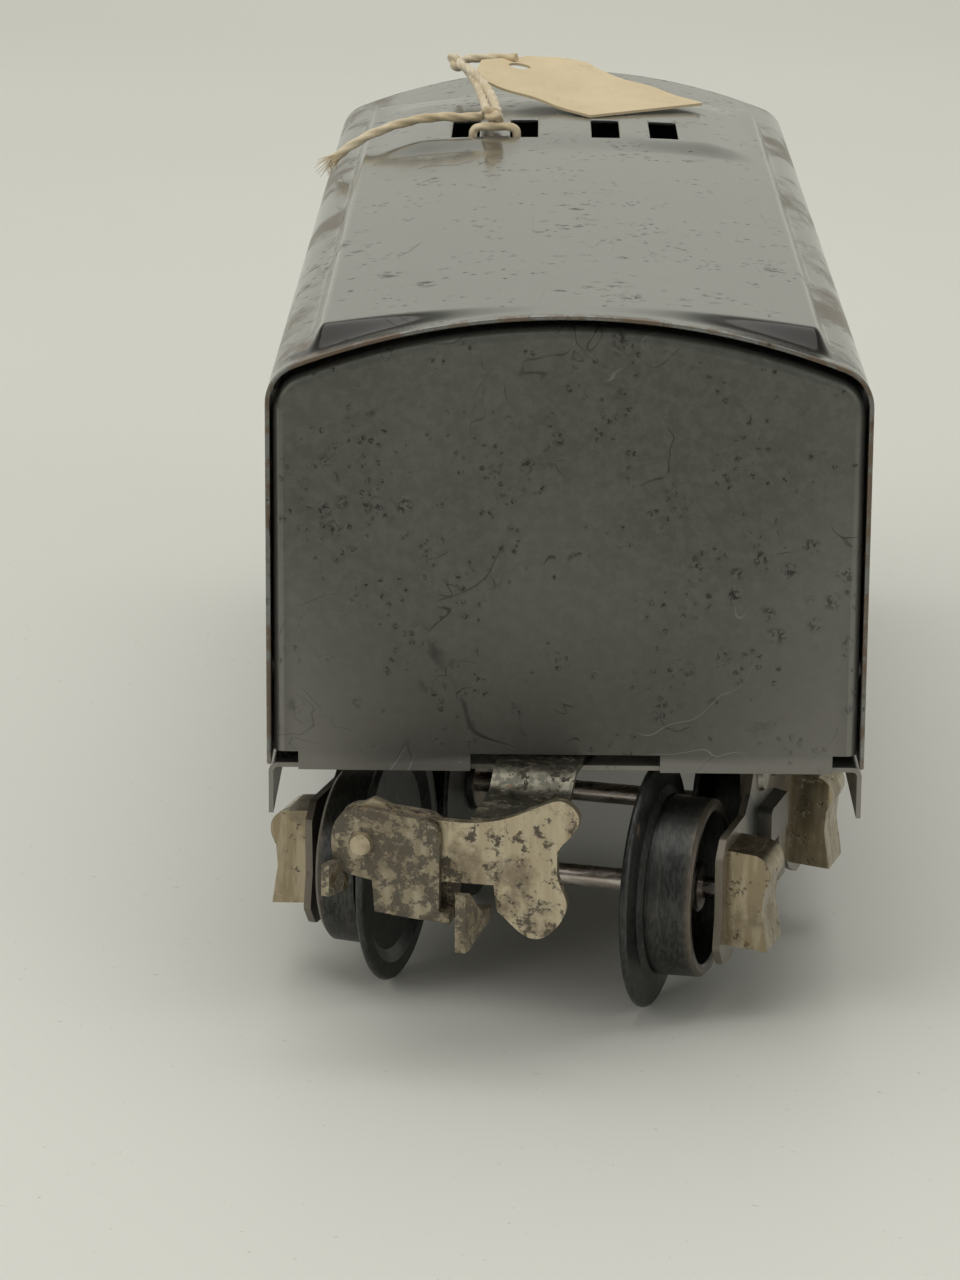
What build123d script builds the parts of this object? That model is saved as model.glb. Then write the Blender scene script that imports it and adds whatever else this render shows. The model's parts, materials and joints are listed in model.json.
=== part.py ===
"""Tinplate railway car: a windowless pressed-steel body on two four-wheel trucks, with a latch
coupler at each end. A card tag is tied to the roof with string, through two of its slots.

Millimetres. X is across the car, Y along it (the rear end faces -Y) and Z is up. The origin is on
the floor under the middle of the car, which stands on its wheel flanges. Truck pieces are drawn
about the truck's kingpin and coupler pieces about the coupler's pivot, with the end of the car on
the -Y side, and are then placed at both ends.
"""

import os
from math import atan2, cos, pi, radians, sin, sqrt, tan

from build123d import *

os.makedirs("parts", exist_ok=True)

# ---- Driving dimensions ---------------------------------------------------------------------
body_length = 188.0
body_width = 63.5
body_height = 49.25
sheet = 0.5
roof_arch_radius = 80.0
shoulder_radius = 4.5

flange_to_deck = 0.4
deck_inset = 0.15
skirt_depth = 5.1
skirt_bend_radius = 1.0

end_plate_recess = 0.3
end_plate_side_gap = 0.25
end_plate_top_gap = 0.85
end_plate_rim_depth = 5.0
end_plate_bend_radius = 1.2
end_plate_drop = 0.1
corner_notch_width = 2.6
corner_notch_height = 2.0
coupler_notch_half_width = 10.1
coupler_notch_height = 1.9

panel_side_margin = 5.55
panel_arch_radius = 160.0
panel_rear_margin = 4.5
panel_front_margin = 22.0
strip_depth = 5.5
hood_from_rear = 116.0
hood_front_margin = 30.0
hood_rise = 0.45
hood_arch_radius = 330.0
hood_half_width = 21.5
slot_width = 3.6
slot_length = 15.0
slot_inner_x = 5.3
slot_outer_x = 12.9
slot_from_front = 59.0

tab_count = 3
tab_pitch = 53.4
tab_length = 6.0
tab_reach = 2.5
tab_inset = 3.0
tab_clearance = 0.15
foot_x = 20.0
foot_width = 8.0
foot_length = 6.5

wheel_spacing = 3.5
back_to_back = 28.4
flange_radius = 13.55
tread_radius = 9.8
flange_thickness = 1.25
tread_width = 5.5
axle_radius = 1.19
running_clearance = 0.06
kingpin_setback = 24.0
kingpin_radius = 2.0
pivot_clearance = 0.08
rear_truck_angle = 16.0
front_truck_angle = 0.0

side_frame_sheet = 0.8
wheel_side_gap = 0.7
bolster_sheet = 1.0
bolster_half_width = 5.5
journal_depth = 4.6
journal_width = 6.6
journal_below_axle = 5.55
journal_above_axle = 5.45

coupler_pivot_setback = 13.4
rear_coupler_angle = 11.0
front_coupler_angle = 0.0
coupler_reach = 29.9
strap_thickness = 0.9
strap_half_width = 4.4
strap_lift = 0.1
strap_drop = 2.35
head_thickness = 1.2
latch_sheet = 1.1
latch_gap = 0.15
latch_rivet_radius = 1.3

rivet_radius = 1.0
rivet_head_radius = 1.7
rivet_head_height = 0.5

tag_length = 31.0
tag_width = 20.0
tag_thickness = 0.35
tag_corner = 6.0
tag_angle = 129.0
tag_rest = (11.2, 14.7)
tag_rise = 3.4
tag_hole_radius = 1.5
tag_hole_margin = 3.5
string_radius = 0.65

# ---- Sizes that follow ----------------------------------------------------------------------
half_length = body_length / 2
half_width = body_width / 2
axle_height = flange_radius
deck_underside = 2 * flange_radius + flange_to_deck
deck_top = deck_underside + sheet
ridge_height = deck_underside + body_height
hood_ridge = ridge_height + hood_rise
panel_half_width = half_width - panel_side_margin
wheelbase = 2 * flange_radius + wheel_spacing
journal_bottom = axle_height - journal_below_axle
journal_top = axle_height + journal_above_axle
plate_face = half_length - end_plate_recess
plate_back = plate_face - sheet
plate_foot = deck_underside - end_plate_drop
deck_half_length = plate_back
deck_half_width = half_width - deck_inset
kingpin_y = half_length - kingpin_setback
coupler_pivot_y = half_length - coupler_pivot_setback
tab_x = half_width - sheet - tab_inset

wheel_back = back_to_back / 2
wheel_front = wheel_back + flange_thickness + tread_width
frame_inner = wheel_front + wheel_side_gap + bolster_sheet
frame_outer = frame_inner + side_frame_sheet
axle_half_length = frame_outer + 0.5

bolster_top = deck_underside - 1.4
collar_radius = 3.4
clip_radius = 3.7
clip_sheet = 0.6


def arched_outline(width, ridge, arch_radius, corner_radius, foot):
    """Draws a closed outline: straight sides, rounded shoulders and a shallow arch on top."""
    half = width / 2
    arch_centre = ridge - arch_radius
    corner_x = half - corner_radius
    corner_z = arch_centre + sqrt((arch_radius - corner_radius) ** 2 - corner_x**2)
    lean = atan2(corner_z - arch_centre, corner_x)
    top_x = arch_radius * cos(lean)
    top_z = arch_centre + arch_radius * sin(lean)
    mid_x = corner_x + corner_radius * cos(lean / 2)
    mid_z = corner_z + corner_radius * sin(lean / 2)
    Line((-half, foot), (half, foot))
    Line((half, foot), (half, corner_z))
    ThreePointArc((half, corner_z), (mid_x, mid_z), (top_x, top_z))
    ThreePointArc((top_x, top_z), (0, ridge), (-top_x, top_z))
    ThreePointArc((-top_x, top_z), (-mid_x, mid_z), (-half, corner_z))
    Line((-half, corner_z), (-half, foot))


def raised_strip(half, ridge, arch_radius, skirt):
    """Draws the closed section of a pressed-up strip of roof, down to a flat foot."""
    edge = ridge - arch_radius + sqrt(arch_radius**2 - half**2)
    Line((-half, skirt), (half, skirt))
    Line((half, skirt), (half, edge))
    ThreePointArc((half, edge), (0, ridge), (-half, edge))
    Line((-half, edge), (-half, skirt))


def save(part, name, location=Location()):
    """Writes one named piece, set at its place in the car."""
    placed = part.moved(location)
    placed.label = name
    export_step(placed, f"parts/{name}.step")


# ---- Body shell: sides and roof in one pressing ------------------------------------------------
panel_rear = -half_length + panel_rear_margin
panel_front = half_length - panel_front_margin
hood_rear = -half_length + hood_from_rear
hood_front = half_length - hood_front_margin
strip_foot = ridge_height - strip_depth
slot_y = half_length - slot_from_front

with BuildPart() as body_shell:
    with BuildSketch(Plane.XZ):
        with BuildLine():
            arched_outline(body_width, ridge_height, roof_arch_radius, shoulder_radius, deck_top)
        make_face()
    extrude(amount=half_length, both=True)
    with BuildSketch(Plane.XZ.offset(-panel_rear)):
        with BuildLine():
            raised_strip(panel_half_width, ridge_height, panel_arch_radius, strip_foot)
        make_face()
    extrude(amount=-(panel_front - panel_rear))
    with BuildSketch(Plane.XZ.offset(-hood_rear)):
        with BuildLine():
            raised_strip(hood_half_width, hood_ridge, hood_arch_radius, strip_foot)
        make_face()
    extrude(amount=-(hood_front - hood_rear))
    with BuildSketch(Plane.XZ):
        with BuildLine():
            arched_outline(
                body_width - 2 * sheet,
                ridge_height - sheet,
                roof_arch_radius - sheet,
                shoulder_radius - sheet,
                deck_top,
            )
        make_face()
    extrude(amount=half_length, both=True, mode=Mode.SUBTRACT)
    with BuildSketch(Plane.XZ.offset(-(panel_rear + sheet))):
        with BuildLine():
            raised_strip(
                panel_half_width - sheet, ridge_height - sheet, panel_arch_radius, strip_foot - sheet
            )
        make_face()
    extrude(amount=-(panel_front - panel_rear - 2 * sheet), mode=Mode.SUBTRACT)
    with BuildSketch(Plane.XZ.offset(-(hood_rear + sheet))):
        with BuildLine():
            raised_strip(
                hood_half_width - sheet,
                hood_ridge - sheet,
                hood_arch_radius,
                strip_foot - sheet,
            )
        make_face()
    extrude(amount=-(hood_front - hood_rear - 2 * sheet), mode=Mode.SUBTRACT)
    with BuildSketch(Plane.XY.offset(ridge_height - 10)):
        with Locations(*[(x, slot_y) for x in (-slot_outer_x, -slot_inner_x, slot_inner_x, slot_outer_x)]):
            Rectangle(slot_width, slot_length)
    extrude(amount=20, mode=Mode.SUBTRACT)
    with Locations(*[(0, (n - (tab_count - 1) / 2) * tab_pitch, 0) for n in range(tab_count)]):
        for side in (-1, 1):
            lip_width = half_width - sheet - tab_x + sheet
            lip_x = side * (tab_x + lip_width / 2 - sheet / 2)
            with Locations((lip_x, 0, deck_top + sheet / 2)):
                Box(lip_width, tab_length, sheet)
            with Locations((side * tab_x, 0, deck_underside)):
                Box(sheet, tab_length, 2 * sheet + sheet)
            with Locations((side * (tab_x - tab_reach / 2), 0, deck_underside - sheet / 2)):
                Box(tab_reach + sheet, tab_length, sheet)
save(body_shell.part, "body_shell")

# ---- Frame: the deck with its down-turned skirts -------------------------------------------------
with BuildPart() as frame:
    with BuildSketch(Plane.XZ):
        with Locations((0, deck_top - (skirt_depth + sheet) / 2)):
            Rectangle(2 * deck_half_width, skirt_depth + sheet)
    extrude(amount=deck_half_length, both=True)
    fillet(frame.edges().filter_by(Axis.Y).group_by(Axis.Z)[-1], skirt_bend_radius)
    with BuildSketch(Plane.XZ) as channel_hollow:
        with Locations((0, deck_underside - skirt_depth / 2 - 0.5)):
            Rectangle(2 * (deck_half_width - sheet), skirt_depth + 1)
        fillet(channel_hollow.vertices().group_by(Axis.Y)[-1], skirt_bend_radius - sheet)
    extrude(amount=deck_half_length, both=True, mode=Mode.SUBTRACT)
    with BuildSketch(Plane.XY.offset(deck_underside)):
        with Locations((0, kingpin_y), (0, -kingpin_y)):
            Circle(kingpin_radius)
        with Locations((0, coupler_pivot_y), (0, -coupler_pivot_y)):
            Circle(latch_rivet_radius + 0.2)
        with GridLocations(2 * foot_x, 2 * (plate_back - foot_length / 2), 2, 2):
            Circle(rivet_radius)
        with GridLocations(2 * tab_x, tab_pitch, 2, tab_count):
            Rectangle(sheet + 2 * tab_clearance, tab_length + 2 * tab_clearance)
    extrude(amount=sheet, mode=Mode.SUBTRACT)
save(frame.part, "frame_deck")

# ---- End plates ---------------------------------------------------------------------------------
plate_width = body_width - 2 * sheet - 2 * end_plate_side_gap
plate_ridge = ridge_height - sheet - end_plate_top_gap
plate_arch = roof_arch_radius - sheet - end_plate_top_gap
plate_corner = shoulder_radius - sheet

with BuildPart() as plate_cavity:
    with BuildSketch(Plane.XZ.offset(plate_back)):
        with BuildLine():
            arched_outline(
                plate_width - 2 * sheet,
                plate_ridge - sheet,
                plate_arch - sheet,
                plate_corner - sheet,
                plate_foot - 1,
            )
        make_face()
    extrude(amount=-end_plate_rim_depth)
    fillet(
        plate_cavity.faces().sort_by(Axis.Y)[0].edges().sort_by(Axis.Z)[1:],
        end_plate_bend_radius - sheet,
    )

with BuildPart() as end_plate:
    with BuildSketch(Plane.XZ.offset(plate_face)):
        with BuildLine():
            arched_outline(plate_width, plate_ridge, plate_arch, plate_corner, plate_foot)
        make_face()
    extrude(amount=-end_plate_rim_depth)
    fillet(
        end_plate.faces().sort_by(Axis.Y)[0].edges().sort_by(Axis.Z)[1:], end_plate_bend_radius
    )
    add(plate_cavity.part, mode=Mode.SUBTRACT)
    with BuildSketch(Plane.XZ.offset(plate_face + 1)):
        with Locations((0, plate_foot)):
            Rectangle(2 * coupler_notch_half_width, 2 * coupler_notch_height)
        with Locations((plate_width / 2, plate_foot), (-plate_width / 2, plate_foot)):
            Rectangle(2 * corner_notch_width, 2 * corner_notch_height)
    extrude(amount=-(end_plate_rim_depth + 2), mode=Mode.SUBTRACT)
    with BuildSketch(Plane.XY.offset(deck_top)):
        with Locations(*[(x, -plate_face + (foot_length + sheet) / 2) for x in (-foot_x, foot_x)]):
            Rectangle(foot_width, foot_length + sheet)
        with Locations(*[(x, -plate_back + foot_length / 2) for x in (-foot_x, foot_x)]):
            Circle(rivet_radius, mode=Mode.SUBTRACT)
    extrude(amount=sheet)
save(end_plate.part, "rear_end_plate")
save(end_plate.part, "front_end_plate", Location((0, 0, 0), (0, 0, 180)))

# ---- Fastenings in the deck ------------------------------------------------------------------------
with BuildPart() as plate_rivets:
    with GridLocations(2 * foot_x, 2 * (plate_back - foot_length / 2), 2, 2):
        with Locations((0, 0, deck_underside)):
            Cylinder(rivet_radius, 2 * sheet, align=(Align.CENTER, Align.CENTER, Align.MIN))
        with Locations((0, 0, deck_underside - rivet_head_height)):
            Cylinder(
                rivet_head_radius, rivet_head_height, align=(Align.CENTER, Align.CENTER, Align.MIN)
            )
        with Locations((0, 0, deck_top + sheet)):
            Cylinder(
                rivet_head_radius, rivet_head_height, align=(Align.CENTER, Align.CENTER, Align.MIN)
            )
    fillet(plate_rivets.edges().group_by(Axis.Z)[-1], rivet_head_height * 0.6)
    fillet(plate_rivets.edges().group_by(Axis.Z)[0], rivet_head_height * 0.6)
save(plate_rivets.part, "end_plate_rivets")

clip_top = bolster_top - bolster_sheet - 0.1
groove_radius = kingpin_radius - 0.6
kingpin_head = 0.8

with BuildPart() as kingpin:
    with BuildSketch(Plane.XZ):
        with BuildLine():
            Polyline(
                (0, clip_top - clip_sheet - 0.8),
                (kingpin_radius - 0.3, clip_top - clip_sheet - 0.8),
                (kingpin_radius, clip_top - clip_sheet - 0.5),
                (kingpin_radius, clip_top - clip_sheet),
                (groove_radius, clip_top - clip_sheet),
                (groove_radius, clip_top),
                (kingpin_radius, clip_top),
                (kingpin_radius, bolster_top + 0.1),
                (collar_radius, bolster_top + 0.1),
                (collar_radius, deck_underside),
                (kingpin_radius, deck_underside),
                (kingpin_radius, deck_top),
                (kingpin_radius + 1.0, deck_top),
                (kingpin_radius + 0.6, deck_top + kingpin_head),
                (0, deck_top + kingpin_head),
                close=True,
            )
        make_face()
    revolve(axis=Axis.Z)

with BuildPart() as retaining_clip:
    with BuildSketch(Plane.XY.offset(clip_top - clip_sheet)):
        Circle(clip_radius)
        Circle(groove_radius, mode=Mode.SUBTRACT)
        with Locations((clip_radius / 2, 0)):
            Rectangle(clip_radius, 1.7 * groove_radius, mode=Mode.SUBTRACT)
    extrude(amount=clip_sheet)

strap_under = deck_top + strap_lift
strap_top = strap_under + strap_thickness
pivot_rivet_radius = latch_rivet_radius + 0.2

with BuildPart() as coupler_pivot:
    with BuildSketch(Plane.XZ):
        with BuildLine():
            Polyline(
                (0, deck_underside - 0.6),
                (pivot_rivet_radius + 1.0, deck_underside - 0.6),
                (pivot_rivet_radius + 1.0, deck_underside),
                (pivot_rivet_radius, deck_underside),
                (pivot_rivet_radius, strap_top + 0.1),
                (pivot_rivet_radius + 1.4, strap_top + 0.1),
                (pivot_rivet_radius + 0.9, strap_top + 0.8),
                (0, strap_top + 0.8),
                close=True,
            )
        make_face()
    revolve(axis=Axis.Z)

# ---- Truck pieces, about the kingpin ------------------------------------------------------------------
side_top = bolster_top - 0.9
bolster_ear = 5.0

with BuildPart() as bolster:
    with BuildSketch(Plane.XZ):
        with BuildLine():
            Polyline(
                (-frame_inner, bolster_top),
                (frame_inner, bolster_top),
                (frame_inner, bolster_top - bolster_ear),
                (frame_inner - bolster_sheet, bolster_top - bolster_ear),
                (frame_inner - bolster_sheet, bolster_top - bolster_sheet),
                (-frame_inner + bolster_sheet, bolster_top - bolster_sheet),
                (-frame_inner + bolster_sheet, bolster_top - bolster_ear),
                (-frame_inner, bolster_top - bolster_ear),
                close=True,
            )
        make_face()
    extrude(amount=bolster_half_width, both=True)
    fillet(bolster.edges().filter_by(Axis.Y).group_by(Axis.Z)[-1], 0.8)
    with BuildSketch(Plane.XY.offset(bolster_top - bolster_sheet)):
        Circle(kingpin_radius + pivot_clearance)
    extrude(amount=bolster_sheet, mode=Mode.SUBTRACT)
    with BuildSketch(Plane.YZ.offset(-frame_inner)):
        with Locations((-3, bolster_top - 3.2), (3, bolster_top - 3.2)):
            Circle(rivet_radius)
    extrude(amount=2 * frame_inner, mode=Mode.SUBTRACT)

half_base = wheelbase / 2


def side_frame_outline():
    """Draws the pressed side frame seen from the side: arched centre and two axle pedestals."""
    right = [
        (6.4, side_top),
        (8.4, side_top - 2.8),
        (half_base - 4.7, axle_height + 7.05),
        (half_base + 3.6, axle_height + 6.85),
        (half_base + 5.4, axle_height + 4.85),
        (half_base + 5.2, axle_height - 1.05),
        (half_base + 6.0, axle_height - 4.95),
        (half_base + 4.2, axle_height - 7.15),
        (half_base + 0.4, axle_height - 7.35),
        (half_base - 3.4, axle_height - 5.75),
        (half_base - 6.2, axle_height - 3.35),
        (half_base - 9.0, axle_height - 4.15),
        (half_base - 11.0, axle_height - 5.95),
    ]
    left = [(-x, z) for x, z in reversed(right)]
    Polyline(*right, *left, close=True)


with BuildPart() as side_frame:
    with BuildSketch(Plane.YZ.offset(frame_inner)) as side_outline:
        with BuildLine():
            side_frame_outline()
        make_face()
        fillet(side_outline.vertices(), 0.9)
    extrude(amount=side_frame_sheet)
    with BuildSketch(Plane.YZ.offset(frame_outer)):
        with Locations((0, axle_height + 3.85)):
            RectangleRounded(9.0, 4.6, 1.2)
    extrude(amount=1.5, taper=12)
    with BuildSketch(Plane.YZ.offset(frame_outer)):
        with Locations((-3.1, axle_height - 1.35), (3.1, axle_height - 1.35)):
            Rectangle(3.6, 5.6)
    extrude(amount=1.1, taper=8)
    with BuildSketch(Plane.YZ.offset(frame_inner)):
        with Locations((-half_base, axle_height), (half_base, axle_height)):
            Circle(axle_radius + running_clearance)
        with Locations((-3, bolster_top - 3.2), (3, bolster_top - 3.2)):
            Circle(rivet_radius)
    extrude(amount=side_frame_sheet, mode=Mode.SUBTRACT)

with BuildPart() as side_rivets:
    for side in (-1, 1):
        with BuildSketch(Plane.YZ.offset(side * (frame_inner - bolster_sheet))):
            with Locations((-3, bolster_top - 3.2), (3, bolster_top - 3.2)):
                Circle(rivet_radius)
        extrude(amount=side * (bolster_sheet + side_frame_sheet))
        with BuildSketch(Plane.YZ.offset(side * frame_outer)):
            with Locations((-3, bolster_top - 3.2), (3, bolster_top - 3.2)):
                Circle(rivet_head_radius)
        extrude(amount=side * rivet_head_height, taper=25)
        with BuildSketch(Plane.YZ.offset(side * (frame_inner - bolster_sheet))):
            with Locations((-3, bolster_top - 3.2), (3, bolster_top - 3.2)):
                Circle(rivet_head_radius - 0.2)
        extrude(amount=-side * 0.3)

journal_mid = (journal_top + journal_bottom) / 2
journal_face = frame_outer + journal_depth

with BuildPart() as journal:
    with BuildSketch(Plane.XZ):
        with BuildLine():
            Polyline(
                (frame_outer, journal_bottom + 0.4),
                (journal_face, journal_bottom),
                (journal_face - 0.7, journal_mid - 1.2),
                (journal_face - 0.5, journal_mid + 1.2),
                (journal_face + 0.1, journal_mid + 2.4),
            )
            ThreePointArc(
                (journal_face + 0.1, journal_mid + 2.4),
                (journal_face - 0.15, journal_top - 1.3),
                (journal_face - 1.5, journal_top - 0.3),
            )
            Line((journal_face - 1.5, journal_top - 0.3), (frame_outer, journal_top))
            Line((frame_outer, journal_top), (frame_outer, journal_bottom + 0.4))
        make_face()
    extrude(amount=journal_width / 2, both=True)
    with BuildSketch(Plane.XY.offset(journal_bottom - 1)):
        with Locations((frame_outer, 0)):
            RectangleRounded(2 * journal_depth + 1, journal_width, 0.9)
    extrude(amount=journal_top - journal_bottom + 2, mode=Mode.INTERSECT)
    with BuildSketch(Plane.YZ.offset(frame_outer)):
        with Locations((0, axle_height)):
            Circle(axle_radius + 0.5)
    extrude(amount=1.2, mode=Mode.SUBTRACT)

wheel_web_back = wheel_back + 0.7
dish_depth = 3.4
hub_radius = 3.0

with BuildPart() as wheel:
    with BuildSketch(Plane.XY):
        with BuildLine():
            Polyline(
                (wheel_back, axle_radius),
                (wheel_back, hub_radius),
                (wheel_web_back, hub_radius + 0.4),
                (wheel_web_back, tread_radius + 0.4),
                (wheel_back + 0.2, tread_radius + 1.4),
                (wheel_back, tread_radius + 1.8),
                (wheel_back, flange_radius - 0.6),
            )
            ThreePointArc(
                (wheel_back, flange_radius - 0.6),
                (wheel_back + 0.4, flange_radius),
                (wheel_back + 0.85, flange_radius - 0.6),
            )
            Polyline(
                (wheel_back + 0.85, flange_radius - 0.6),
                (wheel_back + flange_thickness, tread_radius + 0.9),
                (wheel_back + flange_thickness + 0.5, tread_radius + 0.1),
                (wheel_back + flange_thickness + 0.5, tread_radius - 0.35),
                (wheel_back + flange_thickness + 0.9, tread_radius - 0.35),
                (wheel_back + flange_thickness + 1.0, tread_radius),
                (wheel_front - 0.4, tread_radius - 0.15),
                (wheel_front, tread_radius - 0.55),
                (wheel_front, tread_radius - 1.2),
                (wheel_front - 0.3, tread_radius - 1.5),
                (wheel_front - dish_depth, tread_radius - 2.1),
                (wheel_front - dish_depth, hub_radius + 0.2),
                (wheel_front - 1.2, hub_radius - 0.3),
                (wheel_front - 1.0, hub_radius - 0.6),
                (wheel_front - 1.0, axle_radius),
                (wheel_back, axle_radius),
            )
        make_face()
    revolve(axis=Axis.X)

with BuildPart() as axle:
    with BuildSketch(Plane.YZ.offset(-axle_half_length)):
        Circle(axle_radius)
    extrude(amount=2 * axle_half_length)
    chamfer(axle.edges(), 0.25)

# ---- Coupler pieces, about the coupler's pivot: x is to the right, -y outward ----------------------------
head_back = coupler_reach - head_thickness
bend_start = 15.2
bend_end = 20.8
flat_top = strap_top - strap_drop
foot_drop = 4.4

with BuildPart() as coupler_strap:
    with BuildSketch(Plane.YZ):
        with BuildLine():
            Line((strap_half_width, strap_top), (-bend_start, strap_top))
            Spline(
                (-bend_start, strap_top), (-bend_end, flat_top), tangents=((-1, 0), (-1, 0))
            )
            Polyline(
                (-bend_end, flat_top),
                (-head_back, flat_top),
                (-head_back, flat_top - foot_drop),
                (-head_back + strap_thickness, flat_top - foot_drop),
                (-head_back + strap_thickness, flat_top - strap_thickness),
                (-bend_end, flat_top - strap_thickness),
            )
            Spline(
                (-bend_end, flat_top - strap_thickness),
                (-bend_start, strap_under),
                tangents=((1, 0), (1, 0)),
            )
            Line((-bend_start, strap_under), (strap_half_width, strap_under))
            Line((strap_half_width, strap_under), (strap_half_width, strap_top))
        make_face()
    extrude(amount=strap_half_width, both=True)
    with BuildSketch(Plane.XY.offset(strap_under)):
        with Locations((0, strap_half_width / 2)):
            Rectangle(2 * strap_half_width, strap_half_width)
        Circle(strap_half_width, mode=Mode.SUBTRACT)
    extrude(amount=strap_thickness, mode=Mode.SUBTRACT)
    with BuildSketch(Plane.XY.offset(strap_under)):
        Circle(pivot_rivet_radius + pivot_clearance)
    extrude(amount=strap_thickness, mode=Mode.SUBTRACT)

hinge_x = -15.45
hinge_z = flat_top - 2.85
arm_under = flat_top - 6.8

with BuildPart() as coupler_head:
    with BuildSketch(Plane.XZ.offset(head_back)):
        with BuildLine():
            Spline(
                (-12.4, flat_top + 0.85),
                (-8.6, flat_top - 0.05),
                (-4.4, flat_top - 0.25),
                (-0.2, flat_top + 0.55),
                (3.6, flat_top + 2.25),
                tangents=((1, -0.45), (1, 0.45)),
            )
            Spline(
                (3.6, flat_top + 2.25),
                (5.6, flat_top + 2.65),
                (7.2, flat_top + 0.85),
                (6.0, flat_top - 1.45),
                (4.95, flat_top - 2.75),
                tangents=((1, 0.45), (-0.7, -1)),
            )
            Line((4.95, flat_top - 2.75), (4.95, flat_top - 5.25))
            Spline(
                (4.95, flat_top - 5.25),
                (6.0, flat_top - 8.35),
                (2.5, flat_top - 12.35),
                (-0.9, flat_top - 9.95),
                (-1.7, arm_under),
                tangents=((0.2, -1), (-0.1, 1)),
            )
            Line((-1.7, arm_under), (-13.2, arm_under))
            Spline(
                (-13.2, arm_under),
                (-17.6, flat_top - 5.05),
                (-17.4, flat_top - 0.25),
                (-14.9, flat_top + 1.45),
                (-12.4, flat_top + 0.85),
                tangents=((-1, 0), (1, -0.45)),
            )
        make_face()
    extrude(amount=head_thickness)
    with BuildSketch(Plane.XZ.offset(head_back)):
        with Locations((hinge_x, hinge_z)):
            Circle(latch_rivet_radius - 0.3)
    extrude(amount=head_thickness, mode=Mode.SUBTRACT)

latch_front = coupler_reach + latch_gap
latch_rear = head_back - latch_gap
web_z = flat_top - 10.85
latch_hole = latch_rivet_radius - 0.3 + pivot_clearance


def latch_front_outline():
    """Draws the latch's front leg: a rounded lobe round the hinge and a square leg below it."""
    Polyline(
        (hinge_x + 1.4, web_z + 0.7),
        (-7.25, web_z),
        (-7.2, flat_top - 2.25),
    )
    Spline(
        (-7.2, flat_top - 2.25),
        (-7.7, flat_top - 0.55),
        (-9.2, flat_top + 0.15),
        tangents=((0, 1), (-1, 0.1)),
    )
    Line((-9.2, flat_top + 0.15), (-14.9, flat_top + 0.75))
    Spline(
        (-14.9, flat_top + 0.75),
        (-18.3, flat_top - 0.75),
        (-18.6, flat_top - 4.05),
        (-16.9, flat_top - 6.25),
        tangents=((-1, 0.05), (0.9, -0.6)),
    )
    Line((-16.9, flat_top - 6.25), (hinge_x + 1.1, arm_under + 0.05))
    Line((hinge_x + 1.1, arm_under + 0.05), (hinge_x + 1.4, web_z + 0.7))


finger_tip = coupler_reach + 4.6
finger_root_x = -2.4
finger_tip_x = -3.7

with BuildPart() as latch:
    with BuildSketch(Plane.XZ.offset(latch_front)):
        with BuildLine():
            latch_front_outline()
        make_face()
    extrude(amount=latch_sheet)
    with BuildSketch(Plane.XZ.offset(latch_rear - latch_sheet)):
        with BuildLine():
            latch_front_outline()
        make_face()
    extrude(amount=latch_sheet)
    with BuildSketch(Plane.XZ.offset(latch_rear - latch_sheet)):
        with BuildLine():
            Polyline(
                (-8.0, web_z),
                (finger_root_x - 0.4, web_z - 0.5),
                (finger_root_x, web_z + 1.1),
                (-5.0, arm_under - 0.6),
                (-8.0, arm_under),
                close=True,
            )
        make_face()
    extrude(amount=latch_sheet)
    with BuildSketch(Plane.XZ.offset(latch_rear - latch_sheet)):
        with BuildLine():
            Polyline(
                (hinge_x + 3.2, web_z + 0.45),
                (-6.1, web_z - 0.15),
                (-6.1, web_z + latch_sheet - 0.1),
                (hinge_x + 3.2, web_z + latch_sheet + 0.3),
                close=True,
            )
        make_face()
    extrude(amount=latch_front - latch_rear + 2 * latch_sheet)
    with BuildSketch(Plane.XY.offset(web_z - 2.0)):
        with BuildLine():
            Polyline(
                (finger_root_x, -(latch_rear - latch_sheet)),
                (finger_root_x - 0.1, -coupler_reach),
                (finger_tip_x, -finger_tip),
                (finger_tip_x - latch_sheet, -finger_tip),
                (finger_root_x - 0.1 - latch_sheet, -coupler_reach),
                (finger_root_x - latch_sheet, -(latch_rear - latch_sheet)),
                close=True,
            )
        make_face()
    extrude(amount=6.2)
    with BuildSketch(Plane.YZ.offset(finger_tip_x - 2)):
        with BuildLine():
            Polyline(
                (-coupler_reach + 6, web_z + 1.1),
                (-coupler_reach - 0.6, web_z + 1.1),
                (-finger_tip + 0.8, web_z + 4.3),
                (-finger_tip + 0.8, web_z + 6),
                (-coupler_reach + 6, web_z + 6),
                close=True,
            )
        make_face()
        with BuildLine():
            Polyline(
                (-coupler_reach + 6, web_z - 0.5),
                (-coupler_reach - 0.6, web_z - 0.5),
                (-finger_tip + 0.8, web_z - 2.0),
                (-coupler_reach + 6, web_z - 3),
                close=True,
            )
        make_face()
    extrude(amount=4.6, mode=Mode.SUBTRACT)
    with BuildSketch(Plane.XY.offset(hinge_z - 5.3)):
        with BuildLine():
            Polyline(
                (hinge_x - 1.6, -(latch_front + 0.2)),
                (hinge_x - 2.9, -(latch_front + 3.4)),
                (hinge_x - 3.8, -(latch_front + 3.2)),
                (hinge_x - 2.7, -(latch_front + 0.2)),
                close=True,
            )
        make_face()
    extrude(amount=3.4)
    with BuildSketch(Plane.XZ.offset(latch_rear - latch_sheet)):
        with Locations((hinge_x, hinge_z)):
            Circle(latch_hole)
    extrude(amount=latch_front - latch_rear + 2 * latch_sheet, mode=Mode.SUBTRACT)

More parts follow.
